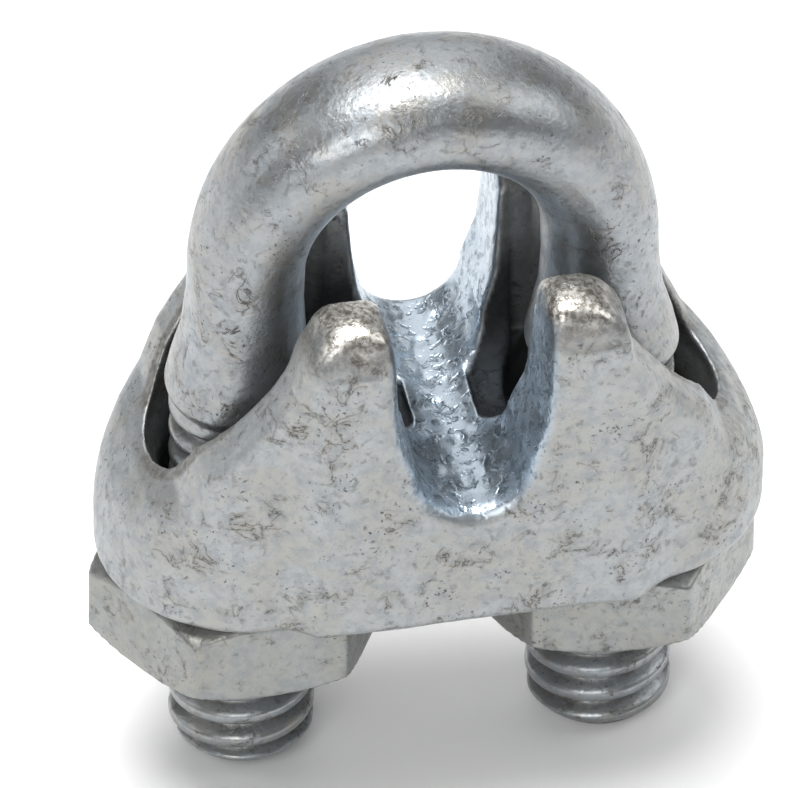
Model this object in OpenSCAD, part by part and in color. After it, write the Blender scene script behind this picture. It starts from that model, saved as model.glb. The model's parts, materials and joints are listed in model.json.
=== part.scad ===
// Wire rope clip for 1/8 in (3 mm) rope: a U-bolt, a cast saddle and two hex nuts.
// Millimetres. The origin is on the axis of the rope seat, midway through the saddle:
// +Y along the rope, +X towards the right leg, +Z towards the arch.

/* [Rope seat] */
// Radius of the round floor of the groove that the rope lies in
seat_r = 1.85; // [1.7:0.05:1.9]
// Half width of the groove where its flared walls end
groove_half_w = 2.7; // [2.6:0.05:2.75]

/* [U-bolt] */
// Distance between the centre lines of the two legs
leg_spacing = 12.7; // [12.6:0.1:13]
// Thickness of the flattened rod, measured across the arch
rod_thick = 4.1; // [3.9:0.05:4.2]
// Width of the flattened rod, measured along the rope
rod_wide = 5.6; // [5.2:0.05:5.6]
// Diameter over the crests of the thread
thread_d = 5.1; // [4.9:0.05:5.1]
// Height of the arch's centre above the seat axis
arch_centre_z = 5.4; // [5.2:0.1:6.5]
// Top of the thread above the seat axis
thread_top_z = 0.2; // [0:0.1:1]
// Ends of the legs below the seat axis
leg_end_z = -15.8; // [-17:0.1:-15.6]
// How far the U-bolt sits to the left in the saddle's wide holes
side_play = 0.35; // [0:0.05:0.4]

/* [Saddle] */
// Size of the saddle along the rope
saddle_depth = 12.2; // [11.8:0.1:12.6]
// Radius of the two cups round the legs
cup_r = 5.5; // [5.4:0.05:5.6]
// Iron under the floor of the groove
floor_h = 5.05; // [4.6:0.05:5.4]
// Height of the horns above the saddle's base
horn_h = 13.9; // [13.4:0.1:14.2]
// Width of the slots that the arch comes down through
slot_w = 5.9; // [5.9:0.05:6.1]

/* [Nuts] */
// Width across the flats of the nuts
nut_af = 9.525; // [9:0.025:9.6]
// Height of the nuts
nut_h = 3.3; // [3:0.05:3.5]
// Angle that the left nut is left at
left_turn = 0.9; // [-30:0.1:30]
// Angle that the right nut is left at
right_turn = -6.6; // [-30:0.1:30]

/* [Hidden] */
$fn = 96;

leg_x = leg_spacing / 2;
base_z = -seat_r - floor_h;
thread_r = thread_d / 2;
thread_chamfer = 0.65;
leg_step = 0.6;

base_round = 0.5;
block_half_w = 5.9;
horn_r = 1.35;
horn_x = 4.05;
horn_dome_r = 1.6;
hole_r = 3.05;
hole_h = 1.6;
pocket_r = 3.5;
pocket_h = 5;
pocket_inner_x = 3.3;
slot_bottom_h = 5.4;
slot_bottom_r = 2.45;
slot_full_h = 10;
slot_inner_x = 1.2;

nut_seat_gap = 0.05;
nut_bore_r = thread_r + 0.05;
nut_lead = 0.35;
nut_corner_h = 0.5;
nut_face_r = nut_af / 2 * 0.97;

// Section of the flattened rod: two rounds joined by flats, across x thick and along y wide
module rod_section() {
    flat = rod_wide - rod_thick;
    for (side = [-1, 1]) {
        translate([0, side * flat / 2]) circle(d = rod_thick);
    }
    square([rod_thick, flat], center = true);
}

// One leg: the flattened rod above, and the round threaded end below
module leg() {
    step_r = thread_r - leg_step;
    translate([0, 0, thread_top_z])
        linear_extrude(arch_centre_z - thread_top_z) rod_section();
    translate([0, 0, leg_end_z + thread_chamfer])
        cylinder(r = thread_r, h = thread_top_z - leg_end_z - thread_chamfer);
    translate([0, 0, leg_end_z])
        cylinder(r1 = thread_r - thread_chamfer, r2 = thread_r, h = thread_chamfer);
    translate([0, 0, thread_top_z])
        cylinder(r1 = thread_r, r2 = step_r, h = leg_step);
}

module u_bolt() {
    color("lightsteelblue") {
        for (side = [-1, 1]) {
            translate([side * leg_x - side_play, 0, 0]) leg();
        }
        translate([-side_play, 0, arch_centre_z])
            rotate([90, 0, 0])
                rotate_extrude(angle = 180) translate([leg_x, 0]) rod_section();
    }
}

// Right half of the saddle seen along the rope, with its base on the x axis
module saddle_front_half() {
    outer_x = leg_x + cup_r;
    horn_centre_h = horn_h - horn_r;
    polygon([
        [0, 0],
        [outer_x - base_round, 0],
        [outer_x - 0.1, base_round],
        [outer_x - 0.2, 2],
        [outer_x - 0.65, 3.4],
        [outer_x - 1.35, 4.5],
        [outer_x - 2.05, 5.2],
        [8.9, 6.9],
        [7.5, 8.55],
        [6.1, 10.4],
        [horn_x + horn_r, 11.6],
        [horn_x + horn_r, horn_centre_h],
        [0, horn_centre_h]
    ]);
    translate([horn_x, horn_centre_h]) circle(r = horn_r);
}

// The saddle seen from its side: a block, with the horns' round tops at the front and back
module saddle_side() {
    shoulder_h = horn_h - horn_dome_r;
    translate([-saddle_depth / 2, 0]) square([saddle_depth, shoulder_h]);
    for (side = [-1, 1]) {
        translate([side * (saddle_depth / 2 - horn_dome_r), shoulder_h]) circle(r = horn_dome_r);
    }
}

// The saddle before anything is cut from it: what its front, side and plan outlines all hold
module saddle_blank() {
    intersection() {
        translate([0, saddle_depth / 2, base_z])
            rotate([90, 0, 0])
                linear_extrude(saddle_depth) {
                    saddle_front_half();
                    mirror([1, 0]) saddle_front_half();
                }
        translate([0, 0, base_z])
            rotate([90, 0, 90]) linear_extrude(4 * cup_r + leg_spacing, center = true) saddle_side();
        translate([0, 0, base_z])
            linear_extrude(horn_h) {
                square([2 * block_half_w, saddle_depth], center = true);
                for (side = [-1, 1]) {
                    translate([side * leg_x, 0]) circle(r = cup_r);
                }
            }
    }
}

// The groove: a round seat for the rope, with walls that flare to the horns
module rope_groove() {
    cut = saddle_depth + 2;
    rotate([90, 0, 0]) {
        cylinder(r = seat_r, h = cut, center = true);
        linear_extrude(cut, center = true)
            for (side = [0, 1]) {
                mirror([side, 0])
                    polygon([
                        [0, 0],
                        [seat_r, 0],
                        [groove_half_w - 0.3, 1.5],
                        [groove_half_w - 0.1, 3],
                        [groove_half_w, 5],
                        [groove_half_w, horn_h],
                        [0, horn_h]
                    ]);
            }
    }
}

// The slot between two horns, seen from the groove: straight above and round at the bottom
module arch_slot_outline() {
    round_h = slot_bottom_h + slot_bottom_r;
    translate([0, round_h]) circle(r = slot_bottom_r);
    polygon([
        [-slot_bottom_r, round_h],
        [slot_bottom_r, round_h],
        [slot_w / 2, slot_full_h],
        [slot_w / 2, horn_h + 1],
        [-slot_w / 2, horn_h + 1],
        [-slot_w / 2, slot_full_h]
    ]);
}

// Everything that makes room for the right leg: its hole, the pocket above and the slot
module leg_room() {
    translate([leg_x, 0, base_z - 1]) cylinder(r = hole_r, h = horn_h + 2);
    translate([leg_x, 0, base_z + hole_h])
        cylinder(r1 = hole_r, r2 = pocket_r, h = pocket_h - hole_h);
    translate([leg_x, 0, base_z + pocket_h]) cylinder(r = pocket_r, h = horn_h);
    translate([pocket_inner_x, -slot_w / 2, base_z + pocket_h + 0.5])
        cube([leg_x - pocket_inner_x, slot_w, horn_h]);
    translate([slot_inner_x, 0, base_z])
        rotate([90, 0, 90]) linear_extrude(leg_x - slot_inner_x) arch_slot_outline();
}

module saddle() {
    color("lightgray") difference() {
        saddle_blank();
        rope_groove();
        leg_room();
        mirror([1, 0, 0]) leg_room();
    }
}

// A hex nut with its corners taken off above and below, standing on z = 0
module hex_nut() {
    corner_r = nut_af / 2 / cos(30);
    difference() {
        intersection() {
            cylinder(r = corner_r, h = nut_h, $fn = 6);
            union() {
                cylinder(r1 = nut_face_r, r2 = corner_r, h = nut_corner_h);
                translate([0, 0, nut_corner_h])
                    cylinder(r = corner_r, h = nut_h - 2 * nut_corner_h);
                translate([0, 0, nut_h - nut_corner_h])
                    cylinder(r1 = corner_r, r2 = nut_face_r, h = nut_corner_h);
            }
        }
        translate([0, 0, -1]) cylinder(r = nut_bore_r, h = nut_h + 2);
        translate([0, 0, -nut_lead])
            cylinder(r1 = nut_bore_r + 2 * nut_lead, r2 = nut_bore_r, h = 2 * nut_lead);
        translate([0, 0, nut_h - nut_lead])
            cylinder(r1 = nut_bore_r, r2 = nut_bore_r + 2 * nut_lead, h = 2 * nut_lead);
    }
}

// A nut on one leg, just under the saddle
module placed_nut(side, turn) {
    color("silver")
        translate([side * leg_x - side_play, 0, base_z - nut_seat_gap - nut_h])
            rotate([0, 0, turn]) hex_nut();
}

module nut_left() {
    placed_nut(-1, left_turn);
}

module nut_right() {
    placed_nut(1, right_turn);
}

u_bolt();
saddle();
nut_left();
nut_right();
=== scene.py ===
"""Wire rope clip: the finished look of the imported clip, in the frame's own axes.

The saddle is a rounded casting taken from a distance field, the U-bolt is a swept bar with a
rolled right-hand thread, and each nut is a chamfered hexagon with a thread in its bore. The
clip's sizes are in millimetres until new_piece turns them into metres. The floor, the lights and
the camera are in metres.
"""
import json
import math

import bpy
import numpy as np
from mathutils import Matrix, Vector, noise


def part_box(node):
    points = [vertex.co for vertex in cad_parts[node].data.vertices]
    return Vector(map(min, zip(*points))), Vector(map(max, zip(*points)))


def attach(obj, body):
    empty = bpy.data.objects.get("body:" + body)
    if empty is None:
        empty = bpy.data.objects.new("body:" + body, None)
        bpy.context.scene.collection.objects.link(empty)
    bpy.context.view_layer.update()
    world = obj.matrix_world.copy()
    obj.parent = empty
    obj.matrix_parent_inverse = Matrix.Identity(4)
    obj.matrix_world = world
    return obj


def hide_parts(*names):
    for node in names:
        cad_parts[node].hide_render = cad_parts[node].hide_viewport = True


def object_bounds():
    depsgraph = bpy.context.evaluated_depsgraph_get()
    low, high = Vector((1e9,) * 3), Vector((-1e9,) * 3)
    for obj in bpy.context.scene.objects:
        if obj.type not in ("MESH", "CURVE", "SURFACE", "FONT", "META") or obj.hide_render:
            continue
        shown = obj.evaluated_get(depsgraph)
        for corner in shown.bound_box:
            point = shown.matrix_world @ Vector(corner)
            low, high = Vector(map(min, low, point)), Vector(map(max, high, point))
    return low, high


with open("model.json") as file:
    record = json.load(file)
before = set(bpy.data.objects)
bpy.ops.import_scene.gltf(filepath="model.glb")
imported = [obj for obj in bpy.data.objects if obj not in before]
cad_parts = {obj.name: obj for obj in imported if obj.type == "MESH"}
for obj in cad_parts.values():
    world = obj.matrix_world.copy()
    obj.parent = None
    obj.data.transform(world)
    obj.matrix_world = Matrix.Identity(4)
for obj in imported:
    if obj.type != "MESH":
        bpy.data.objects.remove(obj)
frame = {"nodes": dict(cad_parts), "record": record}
CAD_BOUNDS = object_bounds()
MM = 0.001
TURN = 2 * math.pi


# ---------------------------------------------------------------- sizes, in millimetres
def box_mm(node):
    """Lowest and highest corners of a CAD node, in millimetres."""
    low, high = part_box(node)
    return np.array(low) / MM, np.array(high) / MM


record = frame["record"]
joint_of = {joint["name"]: joint for joint in record["behaviour"]["joints"]}
bolt_low, bolt_high = box_mm("u_bolt")
saddle_low, saddle_high = box_mm("saddle")

SEAT_R = record["mounts"][0]["dims"]["r_mm"]
PITCH = TURN * 1000 / record["behaviour"]["couplings"][0]["ratio"]
LEG_LEFT_X = joint_of["nut_left_spin"]["pos_m"][0] / MM
LEG_RIGHT_X = joint_of["nut_right_spin"]["pos_m"][0] / MM
BOLT_X = (LEG_LEFT_X + LEG_RIGHT_X) / 2
LEG_X = (LEG_RIGHT_X - LEG_LEFT_X) / 2
BASE_Z = saddle_low[2]
HORN_H = saddle_high[2] - BASE_Z
HALF_DEPTH = saddle_high[1]
CUP_R = saddle_high[0] - LEG_X

# the thread on the legs. THREAD_CLEAR_Z is well above it, where the CAD bar is at its full size.
THREAD_R = 2.55
THREAD_DEPTH = 0.5
THREAD_TOP_Z = 0.2
THREAD_CLEAR_Z = 2.0
END_CHAMFER = 0.75

# the U-bolt's bar, and where it differs from the CAD
bolt_points = np.array([v.co for v in frame["nodes"]["u_bolt"].data.vertices]) / MM
ROD_HALF_THICK = bolt_points[bolt_points[:, 2] > THREAD_CLEAR_Z, 0].max() - BOLT_X - LEG_X
ROD_HALF_WIDE_ARCH = bolt_high[1]
ROD_HALF_WIDE_LEG = 2.3
ARCH_Z = bolt_high[2] - LEG_X - ROD_HALF_THICK
LEFT_LEG_SHORTER = 0.4
ARCH_CLOSER = 0.12
DENT_ROOM = 0.02

# the saddle, and where it differs from the CAD
HORN_TOP_H = HORN_H - 0.4
HORN_LEFT_X = 3.75
HORN_RIGHT_X = 3.85
HORN_R = 1.3
HORN_DOME_R = 1.6
BLOCK_HALF_WIDE = 6.0
BLOCK_SHIFT = 0.5
LEFT_CUP_OUT = 0.2
GROOVE_SHIFT = 0.3
SLOT_R = 2.4
SLOT_BOTTOM_H = 4.95

# the nuts: 3/8 in across flats
NUT_HALF_FLATS = 4.7625
NUT_CORNER_ROUND = 0.18
NUT_BORE_GAP = 0.05
NUT_BORE_LEAD = 0.45


# ---------------------------------------------------------------- meshes
def new_piece(name, points_mm, faces, node, body):
    """A smooth-shaded mesh piece that stands for a CAD node and rides on its body."""
    mesh = bpy.data.meshes.new(name)
    mesh.from_pydata([tuple(p) for p in np.asarray(points_mm) * MM], [], [tuple(f) for f in faces])
    mesh.validate()
    mesh.polygons.foreach_set("use_smooth", [True] * len(mesh.polygons))
    piece = bpy.data.objects.new(name, mesh)
    bpy.context.scene.collection.objects.link(piece)
    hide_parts(node)
    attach(piece, body)
    return piece


def paint_attribute(piece, name, values):
    """Stores one number per vertex, for the materials to read."""
    attribute = piece.data.attributes.new(name, "FLOAT", "POINT")
    attribute.data.foreach_set("value", np.asarray(values, dtype=np.float32))


def ramp(value, width):
    """0 where the value is negative, rising to 1 over the width."""
    return np.clip(value / width, 0, 1)


def noise_at(points, scale_mm, seed):
    """Smooth noise, about -1 to 1, at each point. Its features are about scale_mm across."""
    offset = Vector([seed * step for step in (17.3, 5.9, 11.7)])
    return np.array([noise.noise(Vector(p) / scale_mm + offset) for p in points])


def grid_faces(rings, around):
    """Quads between closed rings of points, ring after ring."""
    index = np.arange(rings * around).reshape(rings, around)
    here, beside = index[:-1], np.roll(index, -1, axis=1)[:-1]
    above, above_beside = index[1:], np.roll(index, -1, axis=1)[1:]
    return np.stack([here, beside, above_beside, above], axis=-1).reshape(-1, 4)


# ---------------------------------------------------------------- saddle, as a distance field
def round_cut(a, b, radius):
    """What two distance fields both hold, with the edge between them rounded."""
    corner = np.hypot(np.maximum(a + radius, 0), np.maximum(b + radius, 0))
    return np.minimum(np.maximum(a, b), -radius) + corner


def round_join(a, b, radius):
    """What either distance field holds, with the corner between them filled."""
    return -round_cut(-a, -b, radius)


def outline_field(u, v, points):
    """Signed distance to a closed outline, negative inside."""
    nearest = np.full(u.shape, 1e9)
    sign = np.ones(u.shape)
    for (u0, v0), (u1, v1) in zip(points, points[1:] + points[:1]):
        edge_u, edge_v = u1 - u0, v1 - v0
        to_u, to_v = u - u0, v - v0
        along = np.clip((to_u * edge_u + to_v * edge_v) / (edge_u**2 + edge_v**2), 0, 1)
        nearest = np.minimum(nearest, np.hypot(to_u - edge_u * along, to_v - edge_v * along))
        crosses = (v0 <= v) != (v1 <= v)
        side = edge_u * to_v - edge_v * to_u
        sign = np.where(crosses & ((side > 0) == (v1 > v0)), -sign, sign)
    return sign * nearest


def front_field(x, z):
    """The saddle seen along the rope: cups, flanks and the two horns."""
    outer_x = LEG_X + CUP_R
    past_middle, below_base, crown = -2, -3, 11.9
    flanks = outline_field(abs(x), z, [
        (past_middle, below_base), (outer_x + 0.5, below_base), (outer_x + 0.5, 1.9),
        (outer_x - 0.35, 3.3), (outer_x - 1.2, 4.4), (outer_x - 2.1, 5.3), (8.9, 6.9),
        (7.6, 8.5), (6.4, 10.1), (5.75, 11.1), (5.2, crown), (past_middle, crown)])
    horn_z = HORN_TOP_H - HORN_R
    horns = np.hypot(x + HORN_LEFT_X, z - horn_z)
    horns = np.minimum(horns, np.hypot(x - HORN_RIGHT_X, z - horn_z)) - HORN_R
    left_slope_x, left_slope_down, left_slope_r = 4.3, 0.7, 1.2
    right_slope_x, right_slope_down, right_slope_r = 4.6, 0.5, 1.25
    left_slope = np.hypot(x + left_slope_x, z - horn_z + left_slope_down) - left_slope_r
    right_slope = np.hypot(x - right_slope_x, z - horn_z + right_slope_down) - right_slope_r
    horns = round_join(horns, np.minimum(left_slope, right_slope), radius=0.4)
    return round_join(flanks, horns, radius=0.7)


def plan_field(x, y):
    """The saddle seen from above: a centre block that stands proud of two round cups."""
    across_block = abs(x - BLOCK_SHIFT) - BLOCK_HALF_WIDE
    block = round_cut(across_block, abs(y) - HALF_DEPTH, radius=0.7)
    cup_out = np.where(x < 0, LEFT_CUP_OUT, 0)
    cup_inset = 0.03
    cups = np.hypot(abs(x) - LEG_X - cup_out, y) - CUP_R + cup_inset
    return round_join(block, cups, radius=1.1)


def side_field(y, z):
    """The saddle seen from the side: the horns are domed.

    Below the domes it stays clear of the block's front and back, which plan_field gives. Two
    faces in one plane would be rounded into each other by round_cut, and both would shrink.
    """
    clear = 1
    dome_z = HORN_TOP_H - HORN_DOME_R
    dome = np.hypot(abs(y) - (HALF_DEPTH - HORN_DOME_R), z - dome_z) - HORN_DOME_R
    return np.minimum(np.maximum(abs(y) - HALF_DEPTH - clear, z - dome_z), dome)


def groove_field(x, z):
    """The rope groove: a round seat with walls that lean outwards above it."""
    across = abs(x - GROOVE_SHIFT)
    up = z + BASE_Z
    past_middle, past_horns = -3, 12
    walls = outline_field(across, up, [
        (past_middle, 0), (SEAT_R, 0), (2.35, 1.5), (2.5, 3), (2.6, 5),
        (2.7, past_horns), (past_middle, past_horns)])
    return np.minimum(walls, np.hypot(across, up) - SEAT_R)


def leg_room_field(x, y, z):
    """Room for the legs: round holes, pockets outside the horns and slots for the arch."""
    ax, ay = abs(x), abs(y)
    hole_heights, hole_radii = [1.2, 3.5, 4.6, 7], [3.05, 3.25, 3.65, 3.7]
    hole = np.hypot(ax - LEG_X, y) - np.interp(z, hole_heights, hole_radii)

    slot_z = SLOT_BOTTOM_H + SLOT_R
    past_middle, past_horns = -3, 16
    slot = outline_field(ay, z, [
        (past_middle, slot_z), (SLOT_R, slot_z), (2.9, 10), (2.95, past_horns),
        (past_middle, past_horns)])
    slot = np.minimum(slot, np.hypot(y, z - slot_z) - SLOT_R)
    slot_inner_x = 1.2
    slot = np.maximum(slot, np.maximum(slot_inner_x - abs(x - GROOVE_SHIFT), ax - LEG_X))

    pocket_half_wide, pocket_bottom, pocket_inner_x = 2.95, 5.5, 3.3
    pocket = np.maximum(ay - pocket_half_wide, pocket_bottom - z)
    pocket = np.maximum(pocket, np.maximum(pocket_inner_x - ax, ax - LEG_X))
    return round_join(round_join(hole, slot, radius=0.15), pocket, radius=0.15)


def saddle_field(x, y, z):
    """Distance field of the cast saddle, negative inside it. Here z is up from its base."""
    body = round_cut(front_field(x, z), plan_field(x, y), radius=0.6)
    body = round_cut(body, side_field(y, z), radius=0.4)
    body = round_cut(body, -z, radius=0.5)

    # the groove flares a little at its front end
    flare_from, flare_length, flare_out = 4.6, 1.5, 0.3
    mouth = ramp(-y - flare_from, flare_length)
    groove = groove_field(x, z) - flare_out * mouth * mouth
    body = round_cut(body, -groove, radius=0.45)
    return round_cut(body, -leg_room_field(x, y, z), radius=0.2)


def surface_of(field, low, step):
    """Quads on the zero surface of a sampled field: one vertex for each cell that it crosses."""
    inside = field < 0
    cells = tuple(n - 1 for n in field.shape)
    count = np.zeros(cells)
    total = np.zeros(cells + (3,))
    halves = [slice(0, -1), slice(1, None)]
    for axis in range(3):
        others = [a for a in range(3) if a != axis]
        for first in (0, 1):
            for second in (0, 1):
                start = [None] * 3
                start[axis] = halves[0]
                start[others[0]] = halves[first]
                start[others[1]] = halves[second]
                end = list(start)
                end[axis] = halves[1]
                a, b = field[tuple(start)], field[tuple(end)]
                crossed = (a < 0) != (b < 0)
                where = np.where(crossed, a / np.where(crossed, a - b, 1), 0)
                count += crossed
                total[..., axis] += where
                total[..., others[0]] += crossed * first
                total[..., others[1]] += crossed * second
    used = count > 0
    number = np.full(cells, -1)
    number[used] = np.arange(used.sum())
    place = np.argwhere(used) + total[used] / count[used][:, None]
    points = low + place * step

    faces = []
    for axis in range(3):
        b, c = (axis + 1) % 3, (axis + 2) % 3
        inner = [slice(None)] * 3
        inner[axis] = slice(0, -1)
        inner[b] = inner[c] = slice(1, -1)
        ahead = list(inner)
        ahead[axis] = slice(1, None)
        leaving = inside[tuple(inner)] & ~inside[tuple(ahead)]
        entering = ~inside[tuple(inner)] & inside[tuple(ahead)]
        for crossed, order in ((leaving, (0, 1, 3, 2)), (entering, (0, 2, 3, 1))):
            at = np.argwhere(crossed)
            at[:, b] += 1
            at[:, c] += 1
            corners = []
            for back_b, back_c in ((1, 1), (0, 1), (1, 0), (0, 0)):
                cell = at.copy()
                cell[:, b] -= back_b
                cell[:, c] -= back_c
                corners.append(number[tuple(cell.T)])
            faces.append(np.stack([corners[i] for i in order], axis=-1))
    return points, np.concatenate(faces)


def field_sample(field, low, step, points):
    """The field at any points, by trilinear interpolation."""
    just_inside = 1.001
    place = np.clip((points - low) / step, 0, np.array(field.shape) - just_inside)
    cell = place.astype(int)
    part = place - cell
    value = np.zeros(len(points))
    for corner in np.ndindex(2, 2, 2):
        weight = np.prod(np.where(corner, part, 1 - part), axis=1)
        value += weight * field[tuple((cell + corner).T)]
    return value


def field_normals(field, low, step, points):
    """Outward unit normals of the field at points on its surface, and how steep it is there."""
    slopes = []
    for offset in np.eye(3) * step:
        beyond = field_sample(field, low, step, points + offset)
        before = field_sample(field, low, step, points - offset)
        slopes.append(beyond - before)
    slope = np.stack(slopes, axis=-1)
    length = np.linalg.norm(slope, axis=1, keepdims=True)
    return slope / length, length[:, 0] / (2 * step)


def cast_relief(points, in_groove):
    """How far the rough casting stands off its smooth form, in millimetres at each point."""
    swell_height, grain_height, sunk = 0.045, 0.006, 0.03
    swell = noise_at(points, 2.6, seed=1)
    hammered = noise_at(points * [1, 0.8, 1], 0.55, seed=2)
    grain = noise_at(points, 0.32, seed=3)

    # the dimples are deepest on the groove's floor, and stop short of its sides and ends
    floor_half_wide, floor_half_long = 2.3, 5.7
    on_floor = in_groove * ramp(floor_half_wide - abs(points[:, 0] - GROOVE_SHIFT), 0.8)
    on_floor *= ramp(floor_half_long - abs(points[:, 1]), 0.9)
    dimple_depth = 0.03 + 0.15 * on_floor
    dimple_share = 0.12
    dimples = np.minimum(hammered + dimple_share, 0) * dimple_depth
    return swell_height * swell + dimples + grain_height * grain - sunk


def shade_of(points):
    """1 inside the leg pockets and the slots, where hardly any light gets in, and 0 outside."""
    x, y, height = abs(points[:, 0]), abs(points[:, 1]), points[:, 2] - BASE_Z

    # a pocket is near its leg's axis, and its rim slopes down and outwards
    pocket_r = 3.85
    rim_x, rim_height = [5.4, 6.8, 8.25, 9.9], [11.0, 9.2, 7.4, 4.6]
    rim = np.interp(x, rim_x, rim_height)
    in_pocket = ramp(pocket_r - np.hypot(x - LEG_X, y), 0.25) * ramp(rim - height, 2.5)

    # a slot is between the groove's wall and the leg
    behind_wall, slot_half_wide, slot_low, slot_high = 0.14, 3.1, 1, 11.5
    in_slot = ramp(groove_field(points[:, 0], height) - behind_wall, 0.12)
    in_slot *= ramp(slot_half_wide - y, 0.2)
    in_slot *= ramp(slot_high - height, 3.0) * ramp(height - slot_low, 0.5)
    in_slot *= x < LEG_X
    return np.maximum(in_pocket, in_slot)


def make_saddle():
    """The cast saddle: rounded edges everywhere, with the dimples and flow of a rough casting."""
    step = 0.13
    reach, edge_reach = 0.9, 0.45
    margin = reach + 3 * step
    low = np.array([saddle_low[0], saddle_low[1], 0]) - margin
    high = np.array([saddle_high[0], saddle_high[1], HORN_H]) + margin
    axes = [np.arange(a, b, step) for a, b in zip(low, high)]
    x, y, z = np.meshgrid(*axes, indexing="ij", sparse=True)
    field = saddle_field(x, y, z)
    points, faces = surface_of(field, low, step)
    for _ in range(2):
        normals, steep = field_normals(field, low, step, points)
        points -= normals * (field_sample(field, low, step, points) / steep)[:, None]
    normals, steep = field_normals(field, low, step, points)

    # how enclosed each point is, and how near an outer edge: 0 on an open face, 1 at the most
    ahead = field_sample(field, low, step, points + normals * reach)
    enclosed = np.clip(1 - ahead / (reach * steep), 0, 1)
    behind = field_sample(field, low, step, points - normals * edge_reach)
    edge = np.clip((behind / (edge_reach * steep) + 1) * 1.6, 0, 1)

    # the groove's surface is near the middle, above the base, and doesn't face along the rope
    groove_low, groove_half_wide, facing_limit = 4.0, 3.1, 0.8
    in_groove = ramp(facing_limit - normals[:, 1] ** 2, 0.5) * (points[:, 2] > groove_low)
    in_groove *= ramp(groove_half_wide - abs(points[:, 0] - GROOVE_SHIFT), 0.4)
    points = points + normals * cast_relief(points, in_groove)[:, None]
    points[:, 2] = np.maximum(points[:, 2], 0)
    points[:, 2] += BASE_Z
    points = np.clip(points, saddle_low - [LEFT_CUP_OUT, 0, 0], saddle_high)
    piece = new_piece("saddle_casting", points, faces, "saddle", "saddle")

    # the horns' tops are worn bright, with a ragged ring of soil below
    polish_down, ring_down, ring_half_wide, ring_soil = 0.95, 1.15, 0.75, 0.55
    below_top = HORN_TOP_H - (points[:, 2] - BASE_Z)
    ragged = 0.35 * noise_at(points, 0.8, seed=4)
    polished = ramp(polish_down + ragged - below_top, 0.5)
    off_ring = abs(below_top - ring_down - ragged)
    ring = np.clip(1 - off_ring / ring_half_wide, 0, 1) * ring_soil
    # painted shade and dirt: the colour darkens where a point is enclosed
    paint_attribute(piece, "hollow_shade_and_dirt", enclosed)
    paint_attribute(piece, "wear", edge)
    paint_attribute(piece, "groove", in_groove * (1 - polished))
    paint_attribute(piece, "polish", polished)
    paint_attribute(piece, "soil", ring)
    paint_attribute(piece, "shade", shade_of(points))
    return piece


# ---------------------------------------------------------------- thread
def thread_drop(angle, z, depth):
    """How far a rolled right-hand thread lies below its crest, at an angle and a height."""
    crest_width = 1.9  # above 1, the crests are wider than the roots
    phase = (z / PITCH - angle / TURN) % 1
    flank = np.abs(2 * phase - 1)
    return depth * (0.5 + 0.5 * np.cos(math.pi * flank)) ** crest_width


# ---------------------------------------------------------------- U-bolt
def bolt_stations():
    """Stations along the bar, from the left leg's end to the right one's.

    Each holds its centre's x and z, then the outward direction across the bar in x and z.
    """
    fine = PITCH / 16
    fine_top_z = THREAD_TOP_Z + 1.2
    leg_low = np.arange(bolt_low[2], fine_top_z, fine)
    leg_high = np.linspace(fine_top_z, ARCH_Z, 24)[1:-1]
    leg_z = np.concatenate([leg_low, leg_high])
    closer = ARCH_CLOSER * np.interp(leg_z, [fine_top_z, ARCH_Z], [0, 1])
    stations = []
    for z, inward in zip(leg_z, closer):
        if z >= bolt_low[2] + LEFT_LEG_SHORTER:
            stations.append((LEG_LEFT_X + inward, z, -1.0, 0.0))
    arch_r = LEG_X - ARCH_CLOSER
    for turn in np.linspace(math.pi, 0, 150):
        out_x, out_z = math.cos(turn), math.sin(turn)
        stations.append((BOLT_X + arch_r * out_x, ARCH_Z + LEG_X * out_z, out_x, out_z))
    for z, inward in zip(leg_z[::-1], closer[::-1]):
        stations.append((LEG_RIGHT_X - inward, z, 1.0, 0.0))
    return np.array(stations)


def bolt_rings(stations, around):
    """A ring of points at each station, and how far each point lies below the thread's crest."""
    angle = np.linspace(0, TURN, around, endpoint=False)
    centre_x, centre_z, out_x, out_z = (stations[:, i, None] for i in range(4))

    # the bar widens round the arch, and swells where it meets the thread
    extra_wide = ROD_HALF_WIDE_ARCH - DENT_ROOM - ROD_HALF_WIDE_LEG
    half_wide = ROD_HALF_WIDE_LEG + extra_wide * (out_z**2) ** 0.6
    swell_z, swell_out = [THREAD_TOP_Z + 0.2, 1.4, 2.6, 4.2], [0.66, 0.45, 0.14, 0]
    swell = np.interp(centre_z, swell_z, swell_out)
    half_thick = ROD_HALF_THICK - DENT_ROOM + swell
    half_wide = half_wide + 0.6 * swell

    # its section is a little squarer than an ellipse, whose squareness would be 2
    squareness = 2.15
    power = 2 / squareness
    across = np.sign(np.cos(angle)) * abs(np.cos(angle)) ** power * half_thick
    along_y = np.sign(np.sin(angle)) * abs(np.sin(angle)) ** power * half_wide

    # below the thread's top the bar is round, with the thread rolled into it
    blend = 0.7
    in_thread = ramp(THREAD_TOP_Z + blend / 2 - centre_z, blend) * (out_z == 0)
    in_thread = in_thread * in_thread * (3 - 2 * in_thread)
    world_angle = np.arctan2(np.sin(angle), np.cos(angle) * np.sign(out_x))
    fade_in = ramp(THREAD_TOP_Z - centre_z, 1.2 * PITCH)
    drop = thread_drop(world_angle, centre_z, THREAD_DEPTH) * fade_in
    end_z = np.where(centre_x < BOLT_X, bolt_low[2] + LEFT_LEG_SHORTER, bolt_low[2])
    end_gap = np.clip(centre_z - end_z, 0, None)
    chamfer = np.clip(END_CHAMFER - end_gap, 0, None) ** 1.3 * 0.95
    radius = np.minimum(THREAD_R - drop, THREAD_R - chamfer)
    across = across * (1 - in_thread) + radius * np.cos(angle) * in_thread
    along_y = along_y * (1 - in_thread) + radius * np.sin(angle) * in_thread

    x = centre_x + out_x * across
    y = along_y + 0 * centre_x
    z = centre_z + out_z * across
    return np.stack([x, y, z], axis=-1).reshape(-1, 3), drop.ravel()


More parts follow.
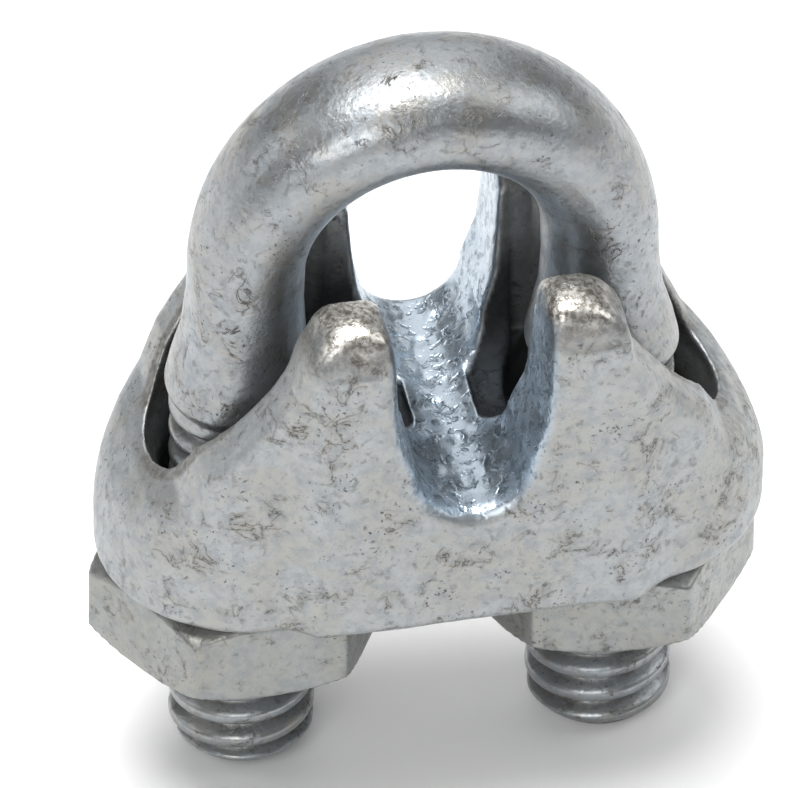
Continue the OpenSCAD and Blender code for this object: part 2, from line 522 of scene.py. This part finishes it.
def close_leg_ends(points, faces, rings, around):
    """Closes both ends of the bar with two smaller rings and a point, a little hollow."""
    for first, at_start in ((0, True), ((rings - 1) * around, False)):
        rim = np.arange(first, first + around)
        middle = points[rim].mean(axis=0)
        loop = rim
        for shrink, lift in ((0.9, 0.0), (0.5, 0.03)):
            inner = len(points) + np.arange(around)
            points = np.vstack([points, middle + (points[rim] - middle) * shrink + [0, 0, lift]])
            quads = np.stack([loop, np.roll(loop, -1), np.roll(inner, -1), inner], axis=-1)
            faces += [list(q) for q in (quads if at_start else quads[:, ::-1])]
            loop = inner
        tip = len(points)
        points = np.vstack([points, middle + [0, 0, 0.04]])
        fan = np.stack([loop, np.roll(loop, -1), np.full(around, tip)], axis=-1)
        faces += [list(t) for t in (fan if at_start else fan[:, ::-1])]
    return points, faces


def make_u_bolt():
    """The U-bolt: one bar, threaded at the ends of its legs and flattened round the arch."""
    around = 120
    stations = bolt_stations()
    points, drop = bolt_rings(stations, around)
    faces = [list(f) for f in grid_faces(len(stations), around)[:, ::-1]]
    points, faces = close_leg_ends(points, faces, len(stations), around)

    # shallow dents, which are shallowest on the thread
    outward = points - np.column_stack([
        np.clip(points[:, 0], LEG_LEFT_X, LEG_RIGHT_X), np.zeros(len(points)), points[:, 2]])
    length = np.maximum(np.linalg.norm(outward, axis=1, keepdims=True), 0.5)
    dents = 0.018 * noise_at(points, 1.9, seed=5) + 0.008 * noise_at(points, 0.6, seed=6)
    off_thread = np.clip((points[:, 2] - THREAD_TOP_Z) / 2, 0.25, 1)
    points = points + outward / length * ((dents - DENT_ROOM) * off_thread)[:, None]
    side_room = [0.2, 0, 0]
    points = np.clip(points, bolt_low - side_room, bolt_high + side_room)
    piece = new_piece("u_bolt_bar", points, faces, "u_bolt", "u_bolt")
    root = np.zeros(len(points))
    root[:drop.size] = drop / THREAD_DEPTH
    # painted shade and dirt in the thread's roots, darkest where a root is deepest
    paint_attribute(piece, "hollow_shade_and_dirt", root * 0.8)
    return piece


# ---------------------------------------------------------------- nuts
def nut_turn(node, centre_x):
    """The angle about the leg at which the CAD nut has a corner."""
    mesh_points = np.array([v.co for v in frame["nodes"][node].data.vertices]) / MM
    offset = mesh_points[:, :2] - [centre_x, 0]
    farthest = offset[np.argmax(np.hypot(*offset.T))]
    return math.atan2(farthest[1], farthest[0])


def nut_profile(angle, turn, low_z, height):
    """Rings of radius and height round the nut: up its outside, then down through its bore."""
    sector = (angle - turn) % (math.pi / 3) - math.pi / 6
    flat_r = NUT_HALF_FLATS / np.cos(sector)
    corner_r = NUT_HALF_FLATS / math.cos(math.pi / 6) - NUT_CORNER_ROUND
    past_corner = flat_r - corner_r
    rounding = np.clip(past_corner / (4 * NUT_CORNER_ROUND), 0, 1)
    hexagon = flat_r - np.maximum(past_corner, 0) * rounding

    around = len(angle)
    face_r = NUT_HALF_FLATS * 0.965
    face_rings = (0.97, 0.85, 0.72)
    chamfer_slope = 1.75
    edge_soft = 0.12
    profile = []
    for part in np.linspace(0, 1, 40):
        z = part * height
        rise = min(z, height - z)
        cone_r = face_r + rise * chamfer_slope
        soft = edge_soft * math.exp(-rise / edge_soft)
        profile.append((np.minimum(hexagon, cone_r) - soft, np.full(around, z)))
    for shrink in face_rings:
        profile.append((np.full(around, face_r * shrink), np.full(around, height)))
    bore_r = THREAD_R + NUT_BORE_GAP
    for part in np.linspace(1, 0, 64):
        z = height * part
        cone_r = bore_r + NUT_BORE_LEAD - min(z, height - z)
        thread_r = bore_r - thread_drop(angle, low_z + z, THREAD_DEPTH)
        profile.append((np.maximum(thread_r, cone_r), np.full(around, z)))
    for shrink in reversed(face_rings):
        profile.append((np.full(around, face_r * shrink), np.zeros(around)))
    return np.array(profile), face_r


def make_nut(side_name, seed):
    """A hex nut: chamfered corners, and a thread in its bore that runs with the leg's own."""
    node = "nut_" + side_name
    low, high = box_mm(node)
    centre_x = joint_of[node + "_spin"]["pos_m"][0] / MM
    around = 480
    angle = np.linspace(0, TURN, around, endpoint=False)
    turn = nut_turn(node, centre_x)
    profile, face_r = nut_profile(angle, turn, low[2], high[2] - low[2])
    radius, z = profile[:, 0], profile[:, 1]
    x = centre_x + radius * np.cos(angle)
    y = radius * np.sin(angle)
    points = np.stack([x, y, low[2] + z], axis=-1).reshape(-1, 3)
    rings = len(profile)
    faces = [list(f) for f in grid_faces(rings, around)]
    last = np.arange((rings - 1) * around, rings * around)
    first = np.arange(around)
    closing = np.stack([last, np.roll(last, -1), np.roll(first, -1), first], axis=-1)
    faces += [list(q) for q in closing]

    # only the outside is dented, and inwards, so the nut stays in its CAD box
    outward = np.column_stack([points[:, 0] - centre_x, points[:, 1], np.zeros(len(points))])
    outward /= np.linalg.norm(outward, axis=1, keepdims=True)
    dents = 0.02 * noise_at(points, 1.6, seed) - DENT_ROOM
    outside = np.hypot(points[:, 0] - centre_x, points[:, 1]) > face_r * 0.9
    points = points + outward * (dents * outside)[:, None]
    points = np.clip(points, low, high)
    return new_piece(node + "_hex", points, faces, node, node)


# ---------------------------------------------------------------- materials
# colours of what lies on or shows through the zinc
SPOT_GREY = (0.17, 0.178, 0.172, 1)
PIT_BLACK = (0.06, 0.06, 0.07, 1)
TARNISH_BROWN = (0.12, 0.105, 0.085, 1)
CRACK_BROWN = (0.06, 0.05, 0.045, 1)
GROOVE_BLUE = (0.46, 0.54, 0.62, 1)
DIMPLE_BLUE = (0.13, 0.17, 0.21, 1)
SOIL_BROWN = (0.075, 0.062, 0.05, 1)
SHADE_BLACK = (0.022, 0.024, 0.027, 1)
WORN_BRIGHT = (0.66, 0.64, 0.60, 1)
WORN_DULL = (0.26, 0.24, 0.21, 1)


class Nodes:
    """A small helper for writing node trees in a line each."""

    def __init__(self, name):
        self.material = bpy.data.materials.new(name)
        self.material.use_nodes = True
        self.tree = self.material.node_tree
        self.shader = self.tree.nodes["Principled BSDF"]
        self.object_place = self.tree.nodes.new("ShaderNodeTexCoord").outputs["Object"]

    def add(self, kind, inputs, **settings):
        """A new node, with its settings made and its inputs set or linked."""
        node = self.tree.nodes.new("ShaderNode" + kind)
        for key, value in settings.items():
            setattr(node, key, value)
        for key, value in inputs.items():
            self.put(node.inputs[key], value)
        return node

    def put(self, socket, value):
        """Links a node's output to the socket, or sets the socket to a constant."""
        if isinstance(value, bpy.types.NodeSocket):
            self.tree.links.new(value, socket)
        else:
            socket.default_value = value

    def noise(self, size_mm, detail, rough=0.55, warp=0.0):
        """Noise about 0.5, with features about size_mm across."""
        return self.add("TexNoise", {
            "Vector": self.object_place, "Scale": 1 / (size_mm * MM), "Detail": detail,
            "Roughness": rough, "Distortion": warp}).outputs["Fac"]

    def attribute(self, name):
        """A number stored on the mesh by paint_attribute, or 0 where the mesh has none."""
        return self.add("Attribute", {}, attribute_name=name).outputs["Fac"]

    def span(self, value, low, high, to_low=0.0, to_high=1.0):
        """Eases from to_low to to_high while the value goes from low to high."""
        return self.add("MapRange", {
            "Value": value, "From Min": low, "From Max": high,
            "To Min": to_low, "To Max": to_high}, interpolation_type="SMOOTHSTEP").outputs["Result"]

    def math(self, operation, first, second=0.0):
        """One operation on one or two numbers, by its name in Blender's Math node."""
        return self.add("Math", {0: first, 1: second}, operation=operation).outputs[0]

    def times(self, first, second):
        """The product of two numbers."""
        return self.math("MULTIPLY", first, second)

    def mix(self, part, first, second):
        """The first colour where part is 0, and the second where it is 1."""
        node = self.add("Mix", {"Factor": part}, data_type="RGBA")
        first_colour, second_colour, mixed_colour = node.inputs[6], node.inputs[7], node.outputs[2]
        self.put(first_colour, first)
        self.put(second_colour, second)
        return mixed_colour


def plated_zinc(name, pale, cool, warm, roughness, pit_level, shade_and_dirt):
    """Zinc plate: mottled, finely pitted and cracked, dirty where it can't be wiped, and darkened
    in its hollows by painted shade.
    """
    n = Nodes(name)
    hollow_shade_and_dirt, wear, groove = n.attribute("hollow_shade_and_dirt"), n.attribute("wear"), n.attribute("groove")
    soil_ring, shade, polish = n.attribute("soil"), n.attribute("shade"), n.attribute("polish")

    # the plate itself: clouds, patches and a fine grain
    cloud = n.span(n.noise(2.6, detail=5, rough=0.62, warp=0.5), 0.36, 0.64)
    patch = n.span(n.noise(0.5, detail=5, rough=0.68, warp=0.3), 0.40, 0.66)
    fine = n.noise(0.2, detail=4, rough=0.65)
    colour = n.mix(cloud, pale, warm)
    colour = n.mix(n.times(patch, 0.55), colour, cool)
    colour = n.mix(n.span(fine, 0.5, 0.72, 0.0, 0.4), colour, cool)

    # blurred spots, small dark pits in clusters, and cracks as fine as a hair
    spots = n.span(n.noise(0.34, detail=2, rough=0.5, warp=0.3), 0.58, 0.72, 0.0, 0.6)
    cluster = n.span(n.noise(1.9, detail=3, rough=0.6), 0.42, 0.64)
    pits = n.noise(0.15, detail=2, rough=0.5, warp=0.2)
    pits = n.times(n.span(pits, pit_level, pit_level + 0.1), cluster)
    wander = n.noise(1.1, detail=6, rough=0.6, warp=0.6)
    off_line = n.math("ABSOLUTE", n.math("SUBTRACT", wander, 0.5))
    cracked = n.span(n.noise(1.7, detail=3, rough=0.6, warp=0.4), 0.50, 0.63)
    cracks = n.times(n.span(off_line, 0.0, 0.014, 1.0, 0.0), cracked)
    tarnish = n.times(n.span(off_line, 0.0, 0.10, 0.35, 0.0), cracked)
    colour = n.mix(spots, colour, SPOT_GREY)
    colour = n.mix(n.times(pits, 0.8), colour, PIT_BLACK)
    colour = n.mix(tarnish, colour, TARNISH_BROWN)
    colour = n.mix(n.times(cracks, 0.85), colour, CRACK_BROWN)

    # the rope groove is bluer and brighter, with dark dimples
    dimple = n.span(n.noise(0.42, detail=2, rough=0.5, warp=0.4), 0.52, 0.66)
    dimple = n.times(dimple, groove)
    colour = n.mix(n.times(groove, 0.8), colour, GROOVE_BLUE)
    colour = n.mix(n.times(dimple, 0.6), colour, DIMPLE_BLUE)

    # painted shade and dirt in the corners and the thread's roots, dirt on the edges and round the
    # horns
    corner_shade_and_dirt = n.times(n.span(hollow_shade_and_dirt, 0.2, 1.0), shade_and_dirt)
    worn_edge = n.times(n.span(wear, 0.35, 1.0), n.span(cloud, 0.2, 0.9, 0.1, 0.6))
    soil = n.math("MAXIMUM", n.math("MAXIMUM", corner_shade_and_dirt, worn_edge), soil_ring)
    soil = n.times(soil, n.span(fine, 0.3, 0.62, 0.45, 1.0))
    colour = n.mix(soil, colour, SOIL_BROWN)

    # dark inside the pockets and the slots, and rubbed bright on the horns
    colour = n.mix(n.times(shade, 0.9), colour, SHADE_BLACK)
    rubbed = n.mix(n.span(fine, 0.42, 0.6), WORN_BRIGHT, WORN_DULL)
    colour = n.mix(polish, colour, rubbed)
    n.put(n.shader.inputs["Base Color"], colour)
    n.put(n.shader.inputs["Metallic"], 0.85)

    rough = n.span(patch, 0.0, 1.0, roughness, roughness + 0.1)
    rough = n.math("ADD", rough, n.times(n.math("MAXIMUM", pits, soil), 0.2))
    rough = n.math("ADD", rough, n.times(shade, 0.35))
    smooth = n.times(n.math("MAXIMUM", groove, polish), 0.17)
    n.put(n.shader.inputs["Roughness"], n.math("SUBTRACT", rough, smooth))

    grain = n.span(groove, 0.0, 1.0, 0.45, 0.12)
    height = n.math("ADD", n.noise(0.6, detail=3), n.times(fine, grain))
    height = n.math("SUBTRACT", height, n.times(cracks, 0.5))
    height = n.math("SUBTRACT", height, n.times(dimple, 0.8))
    bump = n.add("Bump", {"Height": height, "Strength": 0.4, "Distance": 0.00009})
    n.put(n.shader.inputs["Normal"], bump.outputs[0])
    return n.material


# ---------------------------------------------------------------- the clip
saddle = make_saddle()
u_bolt = make_u_bolt()
nut_left = make_nut("left", seed=8)
nut_right = make_nut("right", seed=9)

casting_zinc = plated_zinc(
    "zinc_on_casting",
    pale=(0.350, 0.366, 0.370, 1), cool=(0.262, 0.288, 0.312, 1), warm=(0.338, 0.335, 0.316, 1),
    roughness=0.42, pit_level=0.61, shade_and_dirt=0.85)
bolt_zinc = plated_zinc(
    "zinc_on_bolt",
    pale=(0.325, 0.345, 0.362, 1), cool=(0.245, 0.272, 0.298, 1), warm=(0.315, 0.310, 0.292, 1),
    roughness=0.33, pit_level=0.62, shade_and_dirt=0.75)
nut_zinc = plated_zinc(
    "zinc_on_nuts",
    pale=(0.300, 0.308, 0.300, 1), cool=(0.236, 0.256, 0.268, 1), warm=(0.290, 0.285, 0.262, 1),
    roughness=0.38, pit_level=0.62, shade_and_dirt=0.7)
saddle.data.materials.append(casting_zinc)
u_bolt.data.materials.append(bolt_zinc)
nut_left.data.materials.append(nut_zinc)
nut_right.data.materials.append(nut_zinc)


# ---------------------------------------------------------------- floor, light and camera
def make_floor():
    """A plain pale floor at the leg ends, wide enough for low views."""
    half = 6.0
    z = CAD_BOUNDS[0][2]
    mesh = bpy.data.meshes.new("floor")
    corners = [(-half, -half, z), (half, -half, z), (half, half, z), (-half, half, z)]
    mesh.from_pydata(corners, [], [(0, 1, 2, 3)])
    floor = bpy.data.objects.new("floor", mesh)
    bpy.context.scene.collection.objects.link(floor)
    material = bpy.data.materials.new("pale_floor")
    material.use_nodes = True
    shader = material.node_tree.nodes["Principled BSDF"]
    shader.inputs["Base Color"].default_value = (0.93, 0.93, 0.93, 1)
    shader.inputs["Roughness"].default_value = 0.9
    mesh.materials.append(material)


def make_light(name, direction, distance, size, power):
    """A square soft light that faces the clip from a direction."""
    light = bpy.data.lights.new(name, "AREA")
    light.energy = power
    light.size = size
    lamp = bpy.data.objects.new(name, light)
    bpy.context.scene.collection.objects.link(lamp)
    away = Vector(direction).normalized()
    lamp.location = away * distance
    lamp.rotation_euler = away.to_track_quat("Z", "Y").to_euler()


def make_camera():
    """The camera at the photograph's angle: from the front, a little to the left and above."""
    azimuth, elevation, roll = math.radians(11.8), math.radians(39.9), math.radians(-0.4)
    distance, lens, sensor = 1.0, 1294.0, 36.0
    aim_right, aim_up = -0.00109, 0.00422
    look = Vector((
        math.sin(azimuth) * math.cos(elevation),
        math.cos(azimuth) * math.cos(elevation),
        -math.sin(elevation)))
    level = Vector((math.cos(azimuth), -math.sin(azimuth), 0))
    above = level.cross(look)
    right = level * math.cos(roll) - above * math.sin(roll)
    up = level * math.sin(roll) + above * math.cos(roll)
    aim = level * aim_right + above * aim_up + Vector((0, 0, BASE_Z * MM))
    data = bpy.data.cameras.new("camera")
    data.lens = lens
    data.sensor_width = sensor
    data.clip_start = 0.01
    data.clip_end = 20
    camera = bpy.data.objects.new("camera", data)
    bpy.context.scene.collection.objects.link(camera)
    placed = Matrix((right, up, -look)).transposed().to_4x4()
    placed.translation = aim - look * distance
    camera.matrix_world = placed
    bpy.context.scene.camera = camera


def make_sun(direction, wide_deg, strength):
    """The overhead light: as wide as a studio softbox, and even over the whole floor."""
    light = bpy.data.lights.new("overhead", "SUN")
    light.energy = strength
    light.angle = math.radians(wide_deg)
    lamp = bpy.data.objects.new("overhead", light)
    bpy.context.scene.collection.objects.link(lamp)
    lamp.rotation_euler = Vector(direction).to_track_quat("Z", "Y").to_euler()


def make_world():
    """A dim studio: pale at the horizon, dark above it, and lighter again overhead."""
    world = bpy.data.worlds.new("studio")
    bpy.context.scene.world = world
    world.use_nodes = True
    tree = world.node_tree
    place = tree.nodes.new("ShaderNodeTexCoord")
    split = tree.nodes.new("ShaderNodeSeparateXYZ")
    greys = tree.nodes.new("ShaderNodeValToRGB")
    stops = greys.color_ramp.elements
    horizon_grey, overhead_grey = 0.85, 0.25
    stops[0].color = (horizon_grey, horizon_grey, horizon_grey, 1)
    stops[1].color = (overhead_grey, overhead_grey, overhead_grey, 1)
    for sine_of_elevation, grey in ((0.04, 0.7), (0.13, 0.07), (0.55, 0.10)):
        stops.new(sine_of_elevation).color = (grey, grey, grey, 1)
    tree.links.new(place.outputs["Generated"], split.inputs[0])
    tree.links.new(split.outputs["Z"], greys.inputs["Fac"])
    tree.links.new(greys.outputs["Color"], tree.nodes["Background"].inputs["Color"])


bpy.context.scene.view_settings.view_transform = "Standard"
make_world()
make_floor()
make_sun(direction=(-0.1, 0.1, 1.0), wide_deg=40, strength=3.0)
make_light("front", (-0.55, -1.0, 0.75), distance=0.40, size=0.22, power=0.7)
make_light("left_side", (-1.0, 0.3, 0.5), distance=0.40, size=0.20, power=0.22)
make_light("back", (0.15, 1.0, 0.85), distance=0.50, size=0.45, power=0.75)
make_light("right_side", (1.0, -0.1, 0.9), distance=0.50, size=0.35, power=0.75)
make_camera()
